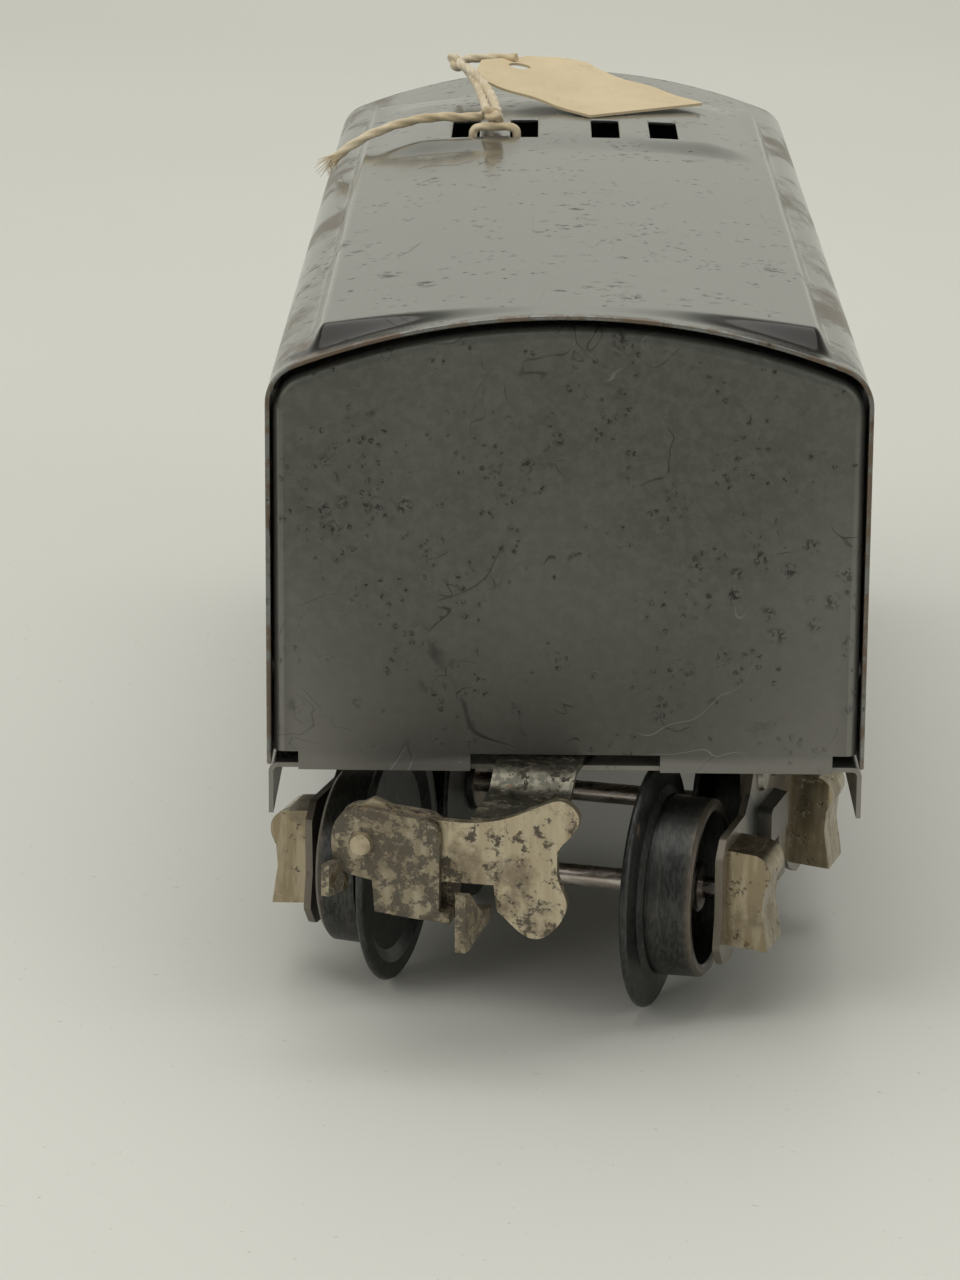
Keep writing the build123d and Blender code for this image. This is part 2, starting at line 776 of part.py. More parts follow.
with BuildPart() as latch_rivet:
    with BuildSketch(Plane.XZ.offset(latch_rear - latch_sheet - 0.1)):
        with Locations((hinge_x, hinge_z)):
            Circle(latch_rivet_radius - 0.3)
    extrude(amount=latch_front - latch_rear + 2 * latch_sheet + 0.2)
    with BuildSketch(Plane.XZ.offset(latch_front + latch_sheet + 0.1)):
        with Locations((hinge_x, hinge_z)):
            Circle(latch_rivet_radius)
    extrude(amount=0.6, taper=20)
    with BuildSketch(Plane.XZ.offset(latch_rear - latch_sheet - 0.1)):
        with Locations((hinge_x, hinge_z)):
            Circle(latch_rivet_radius)
    extrude(amount=-0.5)

# ---- Tag and string on the roof ------------------------------------------------------------------------
tag_turn = Location((tag_rest[0], slot_y + tag_rest[1], 0), (0, 0, tag_angle))
tag_foot = hood_ridge + 0.05

with BuildPart() as tag:
    with BuildSketch(Plane.XZ):
        with BuildLine():
            ThreePointArc(
                (0, tag_foot),
                (tag_length / 2, tag_foot + 0.38 * tag_rise),
                (tag_length, tag_foot + tag_rise),
            )
            Line((tag_length, tag_foot + tag_rise), (tag_length, tag_foot + tag_rise + tag_thickness))
            ThreePointArc(
                (tag_length, tag_foot + tag_rise + tag_thickness),
                (tag_length / 2, tag_foot + 0.38 * tag_rise + tag_thickness),
                (0, tag_foot + tag_thickness),
            )
            Line((0, tag_foot + tag_thickness), (0, tag_foot))
        make_face()
    extrude(amount=tag_width / 2, both=True)
    with BuildSketch(Plane.XY.offset(tag_foot - 1)):
        with BuildLine():
            Polyline(
                (0, -tag_width / 2),
                (tag_length - tag_corner, -tag_width / 2),
                (tag_length, -tag_width / 2 + tag_corner),
                (tag_length, tag_width / 2 - tag_corner),
                (tag_length - tag_corner, tag_width / 2),
                (0, tag_width / 2),
                close=True,
            )
        make_face()
        with Locations((tag_length - tag_hole_margin, 0)):
            Circle(tag_hole_radius, mode=Mode.SUBTRACT)
    extrude(amount=tag_rise + 3, mode=Mode.INTERSECT)
save(tag.part, "tag_card", tag_turn)

bridge_x = -(slot_inner_x + slot_outer_x) / 2
bridge_half = (slot_outer_x - slot_inner_x - slot_width) / 2
bridge_top = hood_ridge - bridge_x**2 / (2 * hood_arch_radius)
loop_y = slot_y - 5.5
loop_clearance = 0.25
loop_inner_half = bridge_half + loop_clearance
loop_inner_height = sheet + 2 * loop_clearance + 0.3
loop_middle = bridge_top - sheet / 2 - 0.1

with BuildPart() as string_loop:
    with BuildSketch(Plane.XZ.offset(-(loop_y + string_radius))):
        with Locations((bridge_x, loop_middle)):
            RectangleRounded(
                2 * (loop_inner_half + 2 * string_radius),
                loop_inner_height + 4 * string_radius,
                2 * string_radius,
            )
            RectangleRounded(
                2 * loop_inner_half, loop_inner_height, loop_clearance, mode=Mode.SUBTRACT
            )
    extrude(amount=2 * string_radius)
save(string_loop.part, "tag_string_loop")

knot_x = bridge_x - 0.4
knot_z = loop_middle + loop_inner_height / 2 + 2 * string_radius + 0.4
knot_radius = 1.5
upper_knot = (-14.9, slot_y + 37.0, hood_ridge + 3.4)

with BuildPart() as lower_knot:
    with Locations((knot_x, loop_y + 1.4, knot_z)):
        Sphere(knot_radius)
    split(bisect_by=Plane.XY.offset(knot_z - 1.2), keep=Keep.TOP)
save(lower_knot.part, "tag_string_lower_knot")

with BuildPart() as top_knot:
    with Locations(upper_knot):
        Sphere(knot_radius)
save(top_knot.part, "tag_string_upper_knot")


def string_tube(offsets, name):
    """Sweeps one length of string along straight runs joined by arcs as large as the runs allow."""
    points = [Vector(x, slot_y + y, hood_ridge + z) for x, y, z in offsets]
    runs = [b - a for a, b in zip(points, points[1:])]
    radii = []
    for before, after in zip(runs, runs[1:]):
        half_turn = before.get_angle(after) / 2
        radii.append(0.45 * min(before.length, after.length) / tan(radians(half_turn)))
    with BuildPart() as tube:
        with BuildLine() as route:
            FilletPolyline(*points, radius=radii)
        with BuildSketch(Plane(origin=points[0], z_dir=runs[0])):
            Circle(string_radius)
        sweep()
    length = route.wires()[0].length
    print(name, "radii", [round(r, 1) for r in radii], "length", round(length, 1))
    solid = pi * string_radius**2 * length
    print(name, "volume", round(tube.part.volume, 2), "against", round(solid, 2))
    save(tube.part, name)


string_tube(
    [
        (-8.6, -3.2, 1.4),
        (-8.9, 3.0, 1.9),
        (-9.8, 12.0, 2.7),
        (-11.3, 21.0, 3.3),
        (-13.1, 29.6, 3.6),
        (-14.7, 35.8, 3.5),
        (-13.6, 39.6, 3.6),
        (-10.2, 40.4, 3.7),
        (-6.6, 38.2, 4.0),
    ],
    "tag_string_first",
)
string_tube(
    [
        (-13.6, 34.4, 3.1),
        (-12.3, 26.0, 2.8),
        (-11.4, 17.0, 2.4),
        (-10.6, 8.4, 1.8),
        (-10.1, 0.8, 1.5),
        (-11.9, -3.1, 1.6),
        (-16.6, -2.5, 1.7),
        (-20.4, -2.9, 1.1),
        (-24.0, -3.5, 0.0),
        (-27.6, -3.2, -1.8),
        (-30.4, -2.0, -4.2),
    ],
    "tag_string_second",
)

# ---- Both ends of the car --------------------------------------------------------------------------------
ends = {
    "rear": (-1, 0, rear_truck_angle, rear_coupler_angle, ("left", "right")),
    "front": (1, 180, front_truck_angle, front_coupler_angle, ("right", "left")),
}
turned = Location((0, 0, 0), (0, 0, 180))

for end, (direction, heading, truck_angle, coupler_angle, (low_side, high_side)) in ends.items():
    pin = Location((0, direction * kingpin_y, 0), (0, 0, heading))
    truck = Location((0, direction * kingpin_y, 0), (0, 0, heading - truck_angle))
    save(kingpin.part, f"{end}_kingpin", pin)
    save(retaining_clip.part, f"{end}_retaining_clip", pin)
    save(bolster.part, f"{end}_truck_bolster", truck)
    save(side_rivets.part, f"{end}_truck_rivets", truck)
    save(side_frame.part, f"{end}_truck_{high_side}_side_frame", truck)
    save(side_frame.part, f"{end}_truck_{low_side}_side_frame", truck * turned)
    for station, offset in (("outer", -half_base), ("inner", half_base)):
        at_axle = Location((0, offset, 0))
        save(journal.part, f"{end}_truck_{high_side}_{station}_journal", truck * at_axle)
        save(journal.part, f"{end}_truck_{low_side}_{station}_journal", truck * at_axle * turned)
        lifted = truck * Location((0, offset, axle_height))
        save(axle.part, f"{end}_truck_{station}_axle", lifted)
        save(wheel.part, f"{end}_truck_{station}_{high_side}_wheel", lifted)
        save(wheel.part, f"{end}_truck_{station}_{low_side}_wheel", lifted * turned)
    pivot = Location((0, direction * coupler_pivot_y, 0), (0, 0, heading))
    coupler = Location((0, direction * coupler_pivot_y, 0), (0, 0, heading - coupler_angle))
    save(coupler_pivot.part, f"{end}_coupler_pivot", pivot)
    save(coupler_strap.part, f"{end}_coupler_strap", coupler)
    save(coupler_head.part, f"{end}_coupler_head", coupler)
    save(latch.part, f"{end}_coupler_latch", coupler)
    save(latch_rivet.part, f"{end}_latch_rivet", coupler)
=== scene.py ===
"""Looks for a tinplate railway car: lacquered shell, satin end plates, nickel coupler, card tag.

Metres, in the CAD row frame: X across the car, Y along it (rear end at -Y), Z up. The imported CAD
model is the fixed frame; detailed meshes stand for the shell, the tag and the string.
"""

import json
import math
import random

import bpy
from mathutils import Matrix, Vector


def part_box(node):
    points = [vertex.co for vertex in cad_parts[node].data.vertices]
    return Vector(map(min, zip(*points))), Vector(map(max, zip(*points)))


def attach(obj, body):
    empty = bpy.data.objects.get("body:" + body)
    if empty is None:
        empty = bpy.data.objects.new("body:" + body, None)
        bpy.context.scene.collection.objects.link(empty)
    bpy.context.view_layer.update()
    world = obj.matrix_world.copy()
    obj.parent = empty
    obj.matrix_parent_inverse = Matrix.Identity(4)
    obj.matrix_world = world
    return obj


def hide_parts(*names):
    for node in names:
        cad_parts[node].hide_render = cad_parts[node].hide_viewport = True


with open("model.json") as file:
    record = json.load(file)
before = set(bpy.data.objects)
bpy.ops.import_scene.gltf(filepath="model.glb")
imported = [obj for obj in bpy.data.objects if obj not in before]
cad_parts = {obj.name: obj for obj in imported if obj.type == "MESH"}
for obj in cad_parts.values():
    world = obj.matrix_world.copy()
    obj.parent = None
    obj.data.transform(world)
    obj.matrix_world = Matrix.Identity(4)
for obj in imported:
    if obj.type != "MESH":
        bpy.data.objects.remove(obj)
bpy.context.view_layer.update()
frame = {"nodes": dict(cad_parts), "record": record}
nodes = frame["nodes"]
MM = 0.001
random.seed(7)

# ---- Sizes of the body pressing, in millimetres ----------------------------------------------
shell_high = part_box("body_shell")[1]
HALF_LENGTH = shell_high.y / MM
HALF_WIDTH = shell_high.x / MM
DECK_TOP = 28.0
RIDGE = 76.75
ARCH = 80.0
SHOULDER = 4.5
SHEET = 0.5
PANEL_HALF = 26.2
PANEL_RADIUS = 160.0
PANEL_REAR = 4.5
PANEL_FRONT = 22.0
HOOD_START = -HALF_LENGTH + 115.0
HOOD_END = HALF_LENGTH - 30.0
HOOD_HALF = 21.5
HOOD_RISE = 0.45
HOOD_RADIUS = 330.0
SLOT_Y = HALF_LENGTH - 59.0
SLOT_HALF_LENGTH = 7.5
SLOT_HALF_WIDTH = 1.8
SLOT_XS = (-12.9, -5.3, 5.3, 12.9)


def smooth(low, high, value):
    t = min(1.0, max(0.0, (value - low) / (high - low)))
    return t * t * (3 - 2 * t)


# ---- Node material helpers -----------------------------------------------------------------------
class Recipe:
    """One node material, with short calls for the nodes that the finishes share."""

    def __init__(self, name, **principled):
        self.material = bpy.data.materials.new(name)
        self.material.use_nodes = True
        self.tree = self.material.node_tree
        self.tree.nodes.clear()
        self.shader = self.tree.nodes.new("ShaderNodeBsdfPrincipled")
        output = self.tree.nodes.new("ShaderNodeOutputMaterial")
        self.link(self.shader.outputs[0], output.inputs["Surface"])
        for key, value in principled.items():
            socket = self.shader.inputs[key.replace("_", " ")]
            socket.default_value = (*value, 1.0) if isinstance(value, tuple) else value
        self.point = self.tree.nodes.new("ShaderNodeTexCoord").outputs["Object"]
        self.height = None

    def link(self, source, target):
        self.tree.links.new(source, target)

    def put(self, value, socket):
        if isinstance(value, (int, float)):
            socket.default_value = value
        elif isinstance(value, tuple):
            socket.default_value = (*value, 1.0) if len(value) == 3 else value
        else:
            self.link(value, socket)

    def scaled(self, scale, move=(0, 0, 0)):
        node = self.tree.nodes.new("ShaderNodeMapping")
        node.inputs["Scale"].default_value = scale
        node.inputs["Location"].default_value = move
        self.link(self.point, node.inputs["Vector"])
        return node.outputs[0]

    def noise(self, scale, detail=4.0, rough=0.55, stretch=None, distort=0.0, move=(0, 0, 0)):
        node = self.tree.nodes.new("ShaderNodeTexNoise")
        node.inputs["Scale"].default_value = scale
        node.inputs["Detail"].default_value = detail
        node.inputs["Roughness"].default_value = rough
        node.inputs["Distortion"].default_value = distort
        self.link(self.scaled(stretch or (1, 1, 1), move), node.inputs["Vector"])
        return node.outputs["Fac"]

    def cells(self, scale, stretch=None, move=(0, 0, 0)):
        node = self.tree.nodes.new("ShaderNodeTexVoronoi")
        node.inputs["Scale"].default_value = scale
        self.link(self.scaled(stretch or (1, 1, 1), move), node.inputs["Vector"])
        return node.outputs["Distance"]

    def ramp(self, value, low, high, first=0.0, last=1.0):
        node = self.tree.nodes.new("ShaderNodeMapRange")
        node.interpolation_type = "SMOOTHSTEP"
        self.put(value, node.inputs["Value"])
        node.inputs["From Min"].default_value = low
        node.inputs["From Max"].default_value = high
        node.inputs["To Min"].default_value = first
        node.inputs["To Max"].default_value = last
        return node.outputs[0]

    def math(self, operation, first, second=0.0):
        node = self.tree.nodes.new("ShaderNodeMath")
        node.operation = operation
        self.put(first, node.inputs[0])
        self.put(second, node.inputs[1])
        return node.outputs[0]

    def mix(self, share, first, second):
        node = self.tree.nodes.new("ShaderNodeMix")
        node.data_type = "RGBA"
        self.put(share, node.inputs[0])
        self.put(first, node.inputs[6])
        self.put(second, node.inputs[7])
        return node.outputs[2]

    def axis(self, name):
        node = self.tree.nodes.new("ShaderNodeSeparateXYZ")
        self.link(self.point, node.inputs[0])
        return node.outputs[name]

    def edge(self, low=0.52, high=0.62):
        """Share of worn edge: high where the surface bends outward."""
        node = self.tree.nodes.new("ShaderNodeNewGeometry")
        return self.ramp(node.outputs["Pointiness"], low, high)

    def bump(self, value, distance, strength=1.0):
        node = self.tree.nodes.new("ShaderNodeBump")
        node.inputs["Strength"].default_value = strength
        node.inputs["Distance"].default_value = distance
        self.link(value, node.inputs["Height"])
        if self.height is not None:
            self.link(self.height, node.inputs["Normal"])
        self.height = node.outputs[0]

    def finish(self, colour=None, roughness=None, metallic=None):
        if colour is not None:
            self.put(colour, self.shader.inputs["Base Color"])
        if roughness is not None:
            self.put(roughness, self.shader.inputs["Roughness"])
        if metallic is not None:
            self.put(metallic, self.shader.inputs["Metallic"])
        if self.height is not None:
            self.link(self.height, self.shader.inputs["Normal"])
        return self.material


def scratches(r, scale, cut, seed):
    """Thin broken marks: the narrow crossing band of a stretched noise, kept only in patches."""
    lines = r.noise(scale, 2.0, 0.5, stretch=(1.0, 0.28, 0.9), distort=1.1, move=(seed, seed, 0))
    near = r.math("ABSOLUTE", r.math("SUBTRACT", lines, 0.5))
    thin = r.ramp(near, 0.0, cut, 1.0, 0.0)
    patch = r.ramp(r.noise(scale * 0.9, 3.0, 0.6, move=(0, seed, seed)), 0.57, 0.64)
    return r.math("MULTIPLY", thin, patch)


def chips(r, scale, size, share, seed, stretch=(1, 1, 1)):
    """Small irregular chips: cell centres, of which only a share is kept."""
    near = r.ramp(r.cells(scale, move=(seed, 0, seed), stretch=stretch), size * 0.3, size, 1.0, 0.0)
    kept = r.ramp(r.noise(scale * 0.22, 3.0, 0.6, move=(seed, seed, 3)), share, share + 0.02)
    ragged = r.ramp(r.noise(scale * 3.5, 3.0, 0.7, move=(seed, 5, 0)), 0.47, 0.56)
    return r.math("MULTIPLY", r.math("MULTIPLY", near, kept), ragged)


# ---- Materials -------------------------------------------------------------------------------------
def shell_lacquer():
    r = Recipe("shell_lacquer", Coat_Weight=0.35, Coat_Roughness=0.06, Coat_IOR=1.5)
    cloud = r.noise(38, 5, 0.6)
    fine = r.noise(520, 3, 0.6)
    marks = r.math("MAXIMUM", chips(r, 330, 0.40, 0.585, 1.0), chips(r, 760, 0.40, 0.56, 7.0))
    dashes = chips(r, 230, 0.34, 0.60, 11.0, stretch=(0.8, 0.45, 1.0))
    marks = r.math("MAXIMUM", marks, dashes)
    lines = scratches(r, 95, 0.008, 3.0)
    height = r.axis("Z")
    # brown stain where the roof turns into the side, and along the rear rim
    turn = r.math("MULTIPLY", r.ramp(height, 0.0665, 0.0695), r.ramp(height, 0.0735, 0.0722))
    stain = r.math("MULTIPLY", turn, r.ramp(r.noise(70, 5, 0.65, stretch=(1, 0.6, 1)), 0.46, 0.62))
    rim = r.ramp(r.math("ABSOLUTE", r.axis("Y")), 0.0922, 0.0939)
    rim = r.math("MULTIPLY", rim, r.ramp(r.noise(260, 4, 0.7), 0.42, 0.56))
    rust = r.math("MULTIPLY", r.math("MAXIMUM", stain, rim), 0.8)
    # painted dark reflection in the corners of the rear step, where the step's face tilts towards the rear
    step_start = r.ramp(r.axis("Y"), -0.0922, -0.0915)
    step_end = r.ramp(r.axis("Y"), -0.0890, -0.0876, 1.0, 0.0)
    painted_step_reflection = r.math("MULTIPLY", step_start, step_end)
    painted_step_reflection = r.math("MULTIPLY", painted_step_reflection, r.ramp(r.math("ABSOLUTE", r.axis("X")), 0.008, 0.017))
    painted_step_reflection = r.math("MULTIPLY", painted_step_reflection, r.ramp(r.noise(170, 4, 0.6, move=(1, 1, 7)), 0.25, 0.45, 0.7, 1.0))
    base = r.mix(r.ramp(cloud, 0.3, 0.7), (0.150, 0.156, 0.147), (0.205, 0.211, 0.200))
    base = r.mix(rust, base, (0.135, 0.085, 0.045))
    # dark colour for the painted reflection in the rear step corners, kept above 66 mm
    base = r.mix(r.math("MULTIPLY", painted_step_reflection, r.ramp(height, 0.066, 0.070)), base, (0.014, 0.012, 0.010))
    base = r.mix(r.math("MULTIPLY", marks, 0.9), base, (0.016, 0.014, 0.012))
    base = r.mix(r.math("MULTIPLY", lines, 0.75), base, (0.02, 0.018, 0.016))
    worn = r.edge(0.53, 0.60)
    base = r.mix(r.math("MULTIPLY", worn, 0.35), base, (0.42, 0.40, 0.36))
    rough = r.ramp(cloud, 0.2, 0.8, 0.13, 0.21)
    rough = r.math("ADD", rough, r.math("MULTIPLY", r.math("MAXIMUM", marks, rust), 0.35))
    r.bump(r.noise(9, 2, 0.4), 0.0011, 0.5)
    r.bump(fine, 0.00003, 0.5)
    r.bump(r.math("SUBTRACT", 1.0, r.math("MAXIMUM", marks, lines)), 0.00008, 0.8)
    return r.finish(base, rough, 0.72)


def end_plate_lacquer():
    r = Recipe("end_plate_lacquer", Coat_Weight=0.08, Coat_Roughness=0.3)
    cloud = r.noise(30, 5, 0.6, move=(2, 0, 1))
    grain = r.noise(900, 3, 0.7)
    blotch = r.math(
        "MULTIPLY",
        r.ramp(r.noise(42, 6, 0.68, stretch=(0.7, 1, 1.3), move=(4, 0, 9)), 0.60, 0.66),
        r.ramp(r.noise(300, 4, 0.7), 0.40, 0.58),
    )
    marks = r.math("MAXIMUM", chips(r, 360, 0.45, 0.58, 21.0), chips(r, 900, 0.42, 0.55, 27.0))
    lines = r.math("MAXIMUM", scratches(r, 62, 0.007, 12.0), scratches(r, 140, 0.010, 31.0))
    pale = scratches(r, 48, 0.004, 51.0)
    height = r.axis("Z")
    # painted dark reflection: the plate is coloured darker and warmer towards its bottom
    low_painted_reflection = r.ramp(height, 0.030, 0.050, 1.0, 0.0)
    base = r.mix(r.ramp(cloud, 0.3, 0.7), (0.092, 0.093, 0.080), (0.132, 0.133, 0.115))
    base = r.mix(r.math("MULTIPLY", r.ramp(grain, 0.35, 0.7), 0.30), base, (0.19, 0.187, 0.172))
    base = r.mix(r.math("MULTIPLY", low_painted_reflection, 0.5), base, (0.060, 0.055, 0.045))
    base = r.mix(r.math("MULTIPLY", blotch, 0.8), base, (0.030, 0.029, 0.026))
    base = r.mix(r.math("MULTIPLY", marks, 0.85), base, (0.022, 0.020, 0.018))
    base = r.mix(r.math("MULTIPLY", lines, 0.8), base, (0.030, 0.028, 0.025))
    base = r.mix(r.math("MULTIPLY", pale, 0.6), base, (0.30, 0.29, 0.27))
    base = r.mix(r.math("MULTIPLY", r.edge(0.53, 0.60), 0.55), base, (0.33, 0.32, 0.29))
    rough = r.ramp(cloud, 0.2, 0.8, 0.36, 0.46)
    rough = r.math("ADD", rough, r.math("MULTIPLY", r.math("MAXIMUM", marks, blotch), 0.2))
    r.bump(r.noise(16, 2, 0.4), 0.0007, 0.5)
    r.bump(grain, 0.00004, 0.55)
    r.bump(r.math("SUBTRACT", 1.0, r.math("MAXIMUM", marks, lines)), 0.00007, 0.8)
    return r.finish(base, rough, 0.62)


def frame_enamel():
    r = Recipe("frame_enamel", Coat_Weight=0.2, Coat_Roughness=0.2)
    cloud = r.noise(60, 5, 0.6)
    marks = chips(r, 260, 0.45, 0.5, 41.0)
    base = r.mix(r.ramp(cloud, 0.3, 0.7), (0.060, 0.060, 0.056), (0.105, 0.104, 0.097))
    base = r.mix(r.math("MULTIPLY", r.edge(), 0.7), base, (0.34, 0.32, 0.28))
    base = r.mix(marks, base, (0.02, 0.018, 0.015))
    r.bump(r.noise(700, 3, 0.6), 0.00004, 0.5)
    return r.finish(base, r.ramp(cloud, 0.3, 0.7, 0.26, 0.42), 0.55)


def blackened_wheel():
    """Darkened wheel metal with fine turning marks round the tread and a bright worn flange edge."""
    r = Recipe("blackened_wheel", Coat_Weight=0.1, Coat_Roughness=0.3)
    cloud = r.noise(150, 5, 0.62)
    knurl = r.noise(1500, 2, 0.5, stretch=(2.2, 0.6, 0.6))
    base = r.mix(r.ramp(cloud, 0.3, 0.7), (0.024, 0.026, 0.025), (0.060, 0.063, 0.058))
    base = r.mix(r.math("MULTIPLY", r.ramp(knurl, 0.45, 0.6), 0.4), base, (0.10, 0.10, 0.094))
    grime = r.ramp(r.noise(420, 4, 0.7, move=(3, 3, 3)), 0.55, 0.68)
    base = r.mix(r.math("MULTIPLY", grime, 0.6), base, (0.030, 0.024, 0.018))
    base = r.mix(r.math("MULTIPLY", r.edge(0.53, 0.60), 0.75), base, (0.30, 0.24, 0.18))
    r.bump(knurl, 0.00005, 0.6)
    r.bump(cloud, 0.00008, 0.5)
    return r.finish(base, r.ramp(cloud, 0.3, 0.75, 0.30, 0.46), 0.75)


def bright_steel():
    r = Recipe("bright_steel", Specular_IOR_Level=0.5)
    lines = r.noise(1400, 2, 0.5, stretch=(0.15, 1, 1))
    base = r.mix(r.ramp(lines, 0.4, 0.6), (0.46, 0.40, 0.36), (0.62, 0.56, 0.52))
    base = r.mix(r.ramp(r.noise(190, 4, 0.6), 0.60, 0.74), base, (0.20, 0.12, 0.07))
    r.bump(lines, 0.00002, 0.4)
    return r.finish(base, r.ramp(lines, 0.3, 0.7, 0.20, 0.32), 1.0)


def nickel(name, pit, brown, tone, rough_low, rough_high):
    """Nickel plate: pitted, stained brown in patches, with rust where it has lifted."""
    r = Recipe(name, Coat_Weight=0.05)
    cloud = r.noise(110, 5, 0.6)
    brushed = r.noise(760, 3, 0.55, stretch=(1.6, 1.6, 0.22))
    pits = r.ramp(r.noise(620, 4, 0.75), 0.66 - 0.22 * pit, 0.72 - 0.16 * pit)
    wide = r.ramp(r.noise(150, 5, 0.7, move=(1, 4, 2)), 0.66 - 0.18 * brown, 0.78 - 0.12 * brown)
    streak = r.ramp(r.noise(330, 4, 0.6, stretch=(1.5, 1.5, 0.2), move=(8, 2, 5)), 0.58, 0.70)
    rust = r.ramp(r.noise(260, 5, 0.72, move=(6, 6, 1)), 0.68 - 0.05 * brown, 0.73)
    light = tuple(min(1.0, c * 1.12) for c in tone)
    base = r.mix(r.ramp(cloud, 0.3, 0.7), tone, light)
    base = r.mix(r.math("MULTIPLY", r.ramp(brushed, 0.42, 0.62), 0.18), base, (0.86, 0.78, 0.62))
    base = r.mix(r.math("MULTIPLY", streak, 0.45 * brown), base, (0.26, 0.19, 0.115))
    base = r.mix(r.math("MULTIPLY", wide, 0.8), base, (0.185, 0.140, 0.082))
    base = r.mix(r.math("MULTIPLY", pits, 0.9), base, (0.050, 0.038, 0.026))
    base = r.mix(r.math("MULTIPLY", rust, 0.9), base, (0.235, 0.115, 0.030))
    base = r.mix(r.math("MULTIPLY", r.edge(0.53, 0.6), 0.08), base, (0.80, 0.73, 0.60))
    dull = r.math("MAXIMUM", r.math("MAXIMUM", pits, wide), rust)
    rough = r.math(
        "ADD", r.ramp(cloud, 0.3, 0.7, rough_low, rough_high), r.math("MULTIPLY", dull, 0.28)
    )
    metal = r.ramp(dull, 0.0, 1.0, 1.0, 0.45)
    r.bump(r.math("SUBTRACT", 1.0, pits), 0.00010, 0.9)
    r.bump(brushed, 0.00002, 0.5)
    r.bump(cloud, 0.00025, 0.5)
    return r.finish(base, rough, metal)


def truck_blacking():
    r = Recipe("truck_blacking", Coat_Weight=0.15, Coat_Roughness=0.25)
    cloud = r.noise(130, 5, 0.62)
    base = r.mix(r.ramp(cloud, 0.3, 0.7), (0.028, 0.029, 0.028), (0.072, 0.073, 0.070))
    base = r.mix(r.math("MULTIPLY", r.edge(), 0.7), base, (0.26, 0.22, 0.17))
    grime = r.ramp(r.noise(300, 4, 0.7, move=(2, 9, 2)), 0.60, 0.70)
    base = r.mix(r.math("MULTIPLY", grime, 0.5), base, (0.11, 0.07, 0.04))
    r.bump(r.noise(500, 4, 0.6), 0.00006, 0.6)
    return r.finish(base, r.ramp(cloud, 0.3, 0.7, 0.26, 0.44), 0.5)


def rivet_steel():
    r = Recipe("rivet_steel")
    cloud = r.noise(300, 5, 0.65)
    base = r.mix(r.ramp(cloud, 0.35, 0.65), (0.20, 0.185, 0.16), (0.40, 0.375, 0.33))
    base = r.mix(r.ramp(r.noise(700, 3, 0.7), 0.6, 0.7), base, (0.10, 0.065, 0.035))
    r.bump(cloud, 0.00008, 0.6)
    return r.finish(base, r.ramp(cloud, 0.3, 0.7, 0.28, 0.45), 0.9)


def manila_card():
    r = Recipe("manila_card", Sheen_Weight=0.1)
    fibre = r.noise(900, 5, 0.7, stretch=(1, 0.35, 1))
    cloud = r.noise(90, 5, 0.6)
    base = r.mix(r.ramp(cloud, 0.3, 0.7), (0.66, 0.53, 0.32), (0.74, 0.61, 0.39))
    base = r.mix(r.math("MULTIPLY", r.ramp(fibre, 0.5, 0.7), 0.35), base, (0.60, 0.47, 0.29))
    soiled = r.ramp(r.noise(160, 5, 0.65, move=(5, 2, 2)), 0.60, 0.72)
    base = r.mix(r.math("MULTIPLY", soiled, 0.4), base, (0.50, 0.38, 0.22))
    r.bump(fibre, 0.00004, 0.6)
    return r.finish(base, 0.78, 0.0)


def cotton_string():
    r = Recipe("cotton_string", Sheen_Weight=0.3, Sheen_Roughness=0.6)
    fibre = r.noise(1700, 4, 0.7)
    cloud = r.noise(240, 3, 0.6)
    base = r.mix(r.ramp(cloud, 0.35, 0.65), (0.60, 0.48, 0.29), (0.76, 0.65, 0.45))
    base = r.mix(r.math("MULTIPLY", r.ramp(fibre, 0.55, 0.7), 0.4), base, (0.42, 0.33, 0.21))
    r.bump(fibre, 0.00009, 0.8)
    return r.finish(base, 0.85, 0.0)


finishes = {
    "shell_lacquer": shell_lacquer(),
    "end_plate_lacquer": end_plate_lacquer(),
    "frame_enamel": frame_enamel(),
    "blackened_wheel": blackened_wheel(),
    "bright_steel": bright_steel(),
    "nickel": nickel("nickel", 0.30, 0.95, (0.25, 0.20, 0.12), 0.22, 0.34),
    "worn_nickel": nickel("worn_nickel", 0.62, 0.95, (0.46, 0.39, 0.27), 0.26, 0.40),
    "truck_blacking": truck_blacking(),
    "rivet_steel": rivet_steel(),
    "manila_card": manila_card(),
    "cotton_string": cotton_string(),
}
latch_nickel = nickel("latch_nickel", 1.0, 1.0, (0.27, 0.23, 0.155), 0.30, 0.45)
# the strap's dark tone is painted shade and dark reflection from under the deck; its pits and brown stains
# are real
strap_nickel_painted_shade = nickel("strap_nickel_painted_shade", 0.45, 0.6, (0.115, 0.112, 0.088), 0.30, 0.42)


for part in frame["record"]["subparts"]:
    target = nodes[part["node"]]
    for index in range(len(target.material_slots)):
        target.material_slots[index].material = finishes[part["material_slot"]]
    if not target.material_slots:
        target.data.materials.append(finishes[part["material_slot"]])
for end in ("rear", "front"):
    nodes[f"{end}_coupler_latch"].material_slots[0].material = latch_nickel
    nodes[f"{end}_coupler_strap"].material_slots[0].material = strap_nickel_painted_shade


# ---- Mesh helpers -----------------------------------------------------------------------------------
def new_piece(name, vertices, faces, material, angle=35):
    mesh = bpy.data.meshes.new(name)
    mesh.from_pydata([(x * MM, y * MM, z * MM) for x, y, z in vertices], [], faces)
    mesh.update()
    piece = bpy.data.objects.new(name, mesh)
    bpy.context.scene.collection.objects.link(piece)
    mesh.materials.append(material)
    for polygon in mesh.polygons:
        polygon.use_smooth = True
    mesh.set_sharp_from_angle(angle=math.radians(angle))
    return piece


